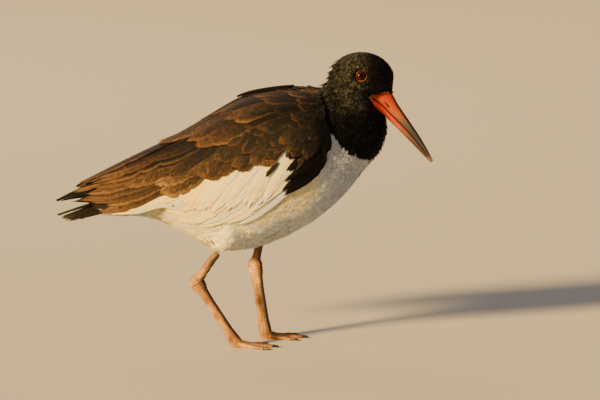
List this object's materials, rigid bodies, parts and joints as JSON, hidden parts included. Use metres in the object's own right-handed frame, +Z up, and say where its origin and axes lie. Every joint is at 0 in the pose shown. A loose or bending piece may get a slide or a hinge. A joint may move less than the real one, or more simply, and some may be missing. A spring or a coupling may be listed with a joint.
{
  "type": "oystercatcher model",
  "caption": "Standing young oystercatcher, a stocky black, brown and white wading bird with a long orange-red bill held low, as a still life-size model.",
  "frame": {"origin": "on the floor under the middle of the bird's box", "axes": "+X the way the bird faces, +Y its left side, +Z up"},
  "size_m": [0.3184, 0.1058, 0.2493],
  "materials": {
    "white_plumage": "matte, soft body feathers, white with a warm cream tinge",
    "black_plumage": "matte to silky blackish-brown feathers of head, neck and bib",
    "brown_plumage": "satin, sun-bleached brown vanes with darker centres, and white bars",
    "tail_plumage": "satin vanes, white towards the rump with a black end band",
    "bill_horn": "satin horn, orange-red at the base and dusky towards the tip",
    "leg_skin": "matte scaled skin, dull pink",
    "claw_horn": "satin dark horn",
    "eye_ring_skin": "bare orange-red skin",
    "eye": "glossy, dark reddish-brown iris round a black pupil"
  },
  "bodies": {
    "root": {"bill_lower": "bill_horn", "bill_upper": "bill_horn", "claw_inner_left": "claw_horn", "claw_inner_right": "claw_horn", "claw_middle_left": "claw_horn", "claw_middle_right": "claw_horn", "claw_outer_left": "claw_horn", "claw_outer_right": "claw_horn", "eye_left": "eye", "eye_right": "eye", "eye_ring_left": "eye_ring_skin", "eye_ring_right": "eye_ring_skin", "head": "black_plumage", "neck": "black_plumage", "shin_left": "leg_skin", "shin_right": "leg_skin", "tail": "tail_plumage", "tarsus_left": "leg_skin", "tarsus_right": "leg_skin", "thigh_left": "white_plumage", "thigh_right": "white_plumage", "toe_inner_left": "leg_skin", "toe_inner_right": "leg_skin", "toe_middle_left": "leg_skin", "toe_middle_right": "leg_skin", "toe_outer_left": "leg_skin", "toe_outer_right": "leg_skin", "torso": "white_plumage", "wing_left": "brown_plumage", "wing_right": "brown_plumage"}
  },
  "joints": []
}
